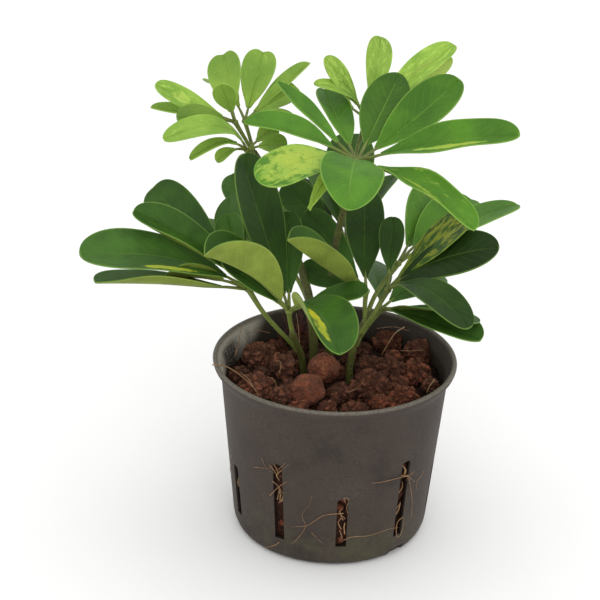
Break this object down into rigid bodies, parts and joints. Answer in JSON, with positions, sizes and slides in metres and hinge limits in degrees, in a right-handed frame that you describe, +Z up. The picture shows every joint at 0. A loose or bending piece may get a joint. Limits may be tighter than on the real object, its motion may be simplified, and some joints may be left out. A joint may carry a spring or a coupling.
{
  "type": "potted umbrella plant",
  "caption": "Young umbrella plant with whorls of rounded oblong leaflets on slender stems, rooted in clay pellets in a round slotted culture pot with a flared rim.",
  "frame": {"origin": "Centre of the pot's underside, on the plane that it stands on.", "axes": "+Z up along the pot axis; -Y toward the viewer of the picture; +X to the right of the picture."},
  "size_m": [0.1921, 0.1559, 0.2169],
  "materials": {
    "pot_plastic": "matte, dusty",
    "clay": "rough, unglazed",
    "stem_bark": "smooth bark",
    "leaf_dark": "satin",
    "leaf_mid": "satin",
    "leaf_young": "satin"
  },
  "bodies": {
    "root": {"culture_pot": "pot_plastic", "clay_bed": "clay", "stem_left": "stem_bark", "stem_right": "stem_bark", "stem_shoot": "stem_bark", "stem_crown": "stem_bark", "leaf_left_outer": "leaf_dark", "leaf_left_inner": "leaf_dark", "leaf_right_outer": "leaf_dark", "leaf_right_inner": "leaf_dark", "leaf_right_low": "leaf_dark", "leaf_right_back": "leaf_mid", "leaf_back_mid": "leaf_dark", "leaf_back_left": "leaf_dark", "crown_leaf_front": "leaf_mid", "crown_leaf_top": "leaf_young", "young_leaf_left": "leaf_young", "young_leaf_mid": "leaf_young", "young_leaf_low": "leaf_young"}
  },
  "joints": []
}
